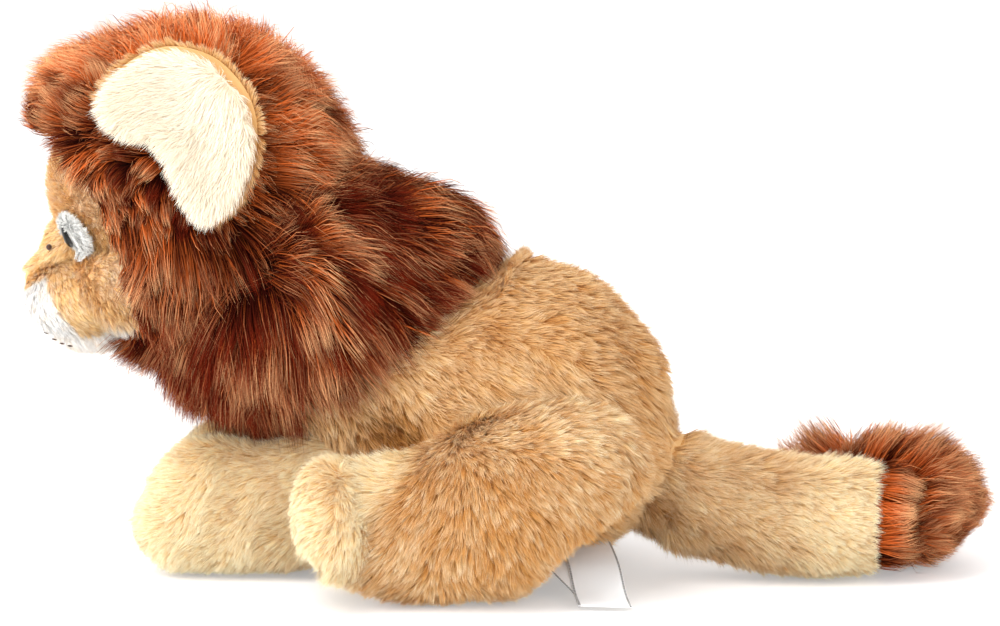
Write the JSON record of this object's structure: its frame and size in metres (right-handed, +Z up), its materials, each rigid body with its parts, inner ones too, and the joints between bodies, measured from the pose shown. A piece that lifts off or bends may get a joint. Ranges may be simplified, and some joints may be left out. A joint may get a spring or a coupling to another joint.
{
  "type": "plush toy lion",
  "caption": "Stuffed plush lion lying on its belly, with a long-pile mane and tail tuft, plastic eyes, stretched forelegs and folded hind legs.",
  "frame": {"origin": "on the floor under the middle of the lion's bounding box", "axes": "+Z up, the lion looks along -Y, its left side is towards +X"},
  "size_m": [0.1634, 0.3454, 0.195],
  "materials": {
    "tan_plush": "short pile plush",
    "cream_plush": "short pile plush",
    "white_plush": "short pile plush",
    "mane_fur": "long pile plush with lighter tips",
    "stuffing": "polyester fibre filling",
    "glossy_plastic": "polished",
    "washer_plastic": "moulded",
    "nose_felt": "felt",
    "label_satin": "woven satin"
  },
  "bodies": {
    "root": {"belly_panel": "cream_plush", "torso_left_panel": "tan_plush", "torso_right_panel": "tan_plush", "torso_filling": "stuffing", "shoulder_mane_left": "mane_fur", "shoulder_mane_right": "mane_fur", "sewn_label": "label_satin"},
    "neck": {"neck_filling": "stuffing"},
    "head": {"face_left": "tan_plush", "face_right": "tan_plush", "eye_patch_left": "white_plush", "eye_patch_right": "white_plush", "eye_left": "glossy_plastic", "eye_right": "glossy_plastic", "eye_washer_left": "washer_plastic", "eye_washer_right": "washer_plastic", "muzzle_left": "white_plush", "muzzle_right": "white_plush", "chin": "white_plush", "nose": "nose_felt", "head_filling": "stuffing", "head_mane_left": "mane_fur", "head_mane_right": "mane_fur"},
    "ear_left": {"ear_back_left": "tan_plush", "ear_front_left": "cream_plush"},
    "foreleg_left": {"foreleg_outer_left": "tan_plush", "foreleg_inner_left": "tan_plush", "foreleg_filling_left": "stuffing"},
    "hind_leg_left": {"hind_leg_outer_left": "tan_plush", "hind_leg_inner_left": "tan_plush", "foot_sole_left": "cream_plush", "hind_leg_filling_left": "stuffing"},
    "ear_right": {"ear_back_right": "tan_plush", "ear_front_right": "cream_plush"},
    "foreleg_right": {"foreleg_outer_right": "tan_plush", "foreleg_inner_right": "tan_plush", "foreleg_filling_right": "stuffing"},
    "hind_leg_right": {"hind_leg_outer_right": "tan_plush", "hind_leg_inner_right": "tan_plush", "foot_sole_right": "cream_plush", "hind_leg_filling_right": "stuffing"},
    "tail": {"tail_top_panel": "tan_plush", "tail_bottom_panel": "tan_plush", "tail_filling": "stuffing", "tail_tuft": "mane_fur"}
  },
  "joints": [
    {"name": "head_turn", "type": "hinge", "parent": "root", "child": "neck", "pos_m": [0, -0.109, 0.133], "axis": [0, -0.683, 0.7304], "range_deg": [-15, 15], "stiffness_Nm_per_rad": 0.6},
    {"name": "head_nod", "type": "hinge", "parent": "neck", "child": "head", "pos_m": [0, -0.109, 0.133], "axis": [1, 0, 0], "range_deg": [-10, 10], "stiffness_Nm_per_rad": 0.8},
    {"name": "ear_fold_left", "type": "hinge", "parent": "head", "child": "ear_left", "pos_m": [0.0587, -0.1028, 0.1313], "axis": [0, 1, 0], "range_deg": [0, 25], "stiffness_Nm_per_rad": 0.03},
    {"name": "ear_fold_right", "type": "hinge", "parent": "head", "child": "ear_right", "pos_m": [-0.0587, -0.1028, 0.1313], "axis": [0, -1, 0], "range_deg": [0, 25], "stiffness_Nm_per_rad": 0.03},
    {"name": "foreleg_swing_left", "type": "hinge", "parent": "root", "child": "foreleg_left", "pos_m": [0.024, -0.0398, 0.0541], "axis": [-1, 0, 0], "range_deg": [-8, 8], "stiffness_Nm_per_rad": 0.4},
    {"name": "foreleg_swing_right", "type": "hinge", "parent": "root", "child": "foreleg_right", "pos_m": [-0.024, -0.0398, 0.0541], "axis": [-1, 0, 0], "range_deg": [-8, 8], "stiffness_Nm_per_rad": 0.4},
    {"name": "hind_leg_splay_left", "type": "hinge", "parent": "root", "child": "hind_leg_left", "pos_m": [0.036, 0.0534, 0.0432], "axis": [0, 0, 1], "range_deg": [0, 12], "stiffness_Nm_per_rad": 0.4},
    {"name": "hind_leg_splay_right", "type": "hinge", "parent": "root", "child": "hind_leg_right", "pos_m": [-0.036, 0.0534, 0.0432], "axis": [0, 0, -1], "range_deg": [0, 12], "stiffness_Nm_per_rad": 0.4},
    {"name": "tail_wag", "type": "hinge", "parent": "root", "child": "tail", "pos_m": [0, 0.0603, 0.033], "axis": [0, 0, 1], "range_deg": [-10, 10], "stiffness_Nm_per_rad": 0.2}
  ]
}
